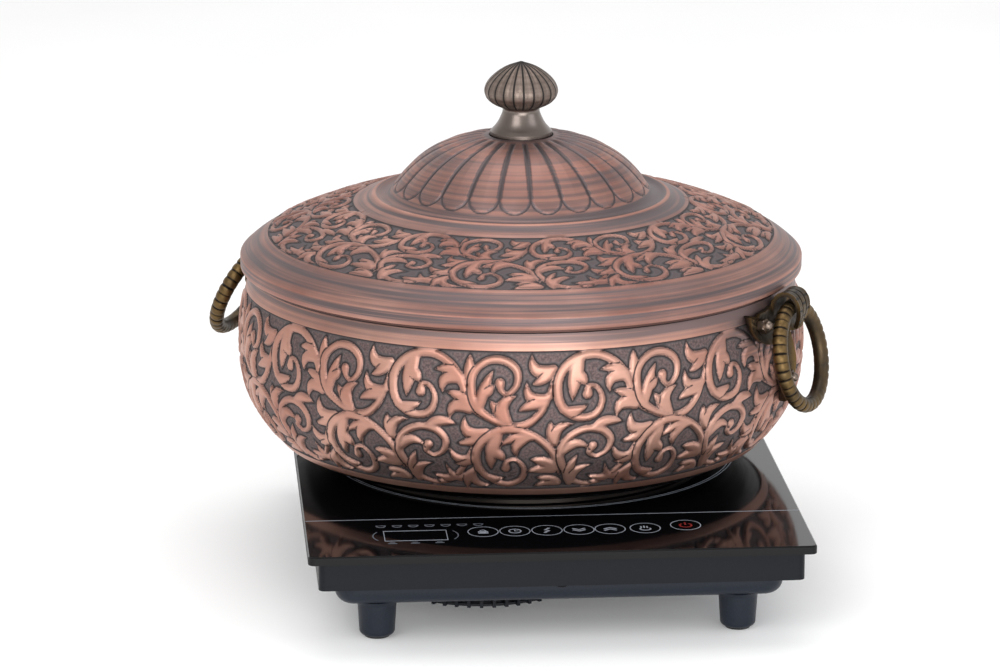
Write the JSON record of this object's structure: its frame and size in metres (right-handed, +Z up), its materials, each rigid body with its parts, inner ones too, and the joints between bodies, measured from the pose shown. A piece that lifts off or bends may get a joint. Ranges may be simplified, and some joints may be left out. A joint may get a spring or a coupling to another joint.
{
  "type": "soup kettle",
  "caption": "Lidded copper soup pot with ring handles, standing on a flat induction heater that keeps it hot for buffet service.",
  "frame": {"origin": "on the table, at the middle of the whole set's outline seen from above", "axes": "+Z up, +X to the right of someone at the heater's keys, +Y away from them"},
  "size_m": [0.3657, 0.3773, 0.3012],
  "materials": {
    "antique_copper": "embossed, darkened in the hollows and polished on the high spots",
    "antique_brass": "cast, darkened and rubbed back",
    "steel": "spun and brushed",
    "black_glass": "polished black glass-ceramic",
    "dark_plastic": "moulded charcoal plastic",
    "rubber": "moulded",
    "copper_wire": "enamelled winding",
    "ferrite": "pressed and fired",
    "mica": "pressed sheet",
    "circuit_board": "solder resist",
    "aluminium": "extruded",
    "component_plastic": "moulded"
  },
  "bodies": {
    "heater": {"glass_top": "black_glass", "upper_housing": "dark_plastic", "lower_housing": "dark_plastic", "feet": "dark_plastic", "foot_pads": "rubber", "fan_guard": "dark_plastic", "fan_motor": "dark_plastic", "induction_coil": "copper_wire", "coil_carrier": "dark_plastic", "ferrite_bars": "ferrite", "insulation_sheet": "mica", "thermal_sensor": "steel", "power_board": "circuit_board", "heat_sink": "aluminium", "power_transistors": "dark_plastic", "filter_capacitors": "component_plastic", "input_choke": "copper_wire", "control_board": "circuit_board", "touch_springs": "steel", "display_module": "component_plastic", "cord_gland": "rubber", "housing_screws": "steel", "foot_screws": "steel", "board_screws": "steel", "coil_screws": "steel", "fan_screws": "steel"},
    "fan": {"fan_rotor": "dark_plastic"},
    "pot": {"pot_jacket": "antique_copper", "inner_pot": "steel", "base_disc": "steel", "right_bracket": "antique_brass", "right_bracket_nuts": "antique_brass", "right_bracket_bolts": "steel", "left_bracket": "antique_brass", "left_bracket_nuts": "antique_brass", "left_bracket_bolts": "steel"},
    "right_ring": {"right_ring": "antique_brass"},
    "left_ring": {"left_ring": "antique_brass"},
    "lid": {"lid_shell": "antique_copper", "lid_seat_ring": "steel", "knob_base": "antique_copper", "knob_head": "antique_copper", "knob_stud": "steel", "knob_washer": "steel", "knob_nut": "steel"}
  },
  "joints": [
    {"name": "pot_lift", "type": "slide", "parent": "heater", "child": "pot", "axis": [0, 0, 1], "range_m": [0, 0.15]},
    {"name": "lid_lift", "type": "slide", "parent": "pot", "child": "lid", "axis": [0, 0, 1], "range_m": [0, 0.2]},
    {"name": "right_ring_swing", "type": "hinge", "parent": "pot", "child": "right_ring", "pos_m": [0.15692, -0.0698, 0.1695], "axis": [-0.5, -0.866, 0], "range_deg": [0, 137]},
    {"name": "left_ring_swing", "type": "hinge", "parent": "pot", "child": "left_ring", "pos_m": [-0.14792, 0.1062, 0.1695], "axis": [0.5, 0.866, 0], "range_deg": [-14.5, 122]},
    {"name": "fan_spin", "type": "hinge", "parent": "heater", "child": "fan", "pos_m": [-0.0291, -0.1047, 0.031], "axis": [0, 0, 1], "continuous": true}
  ]
}
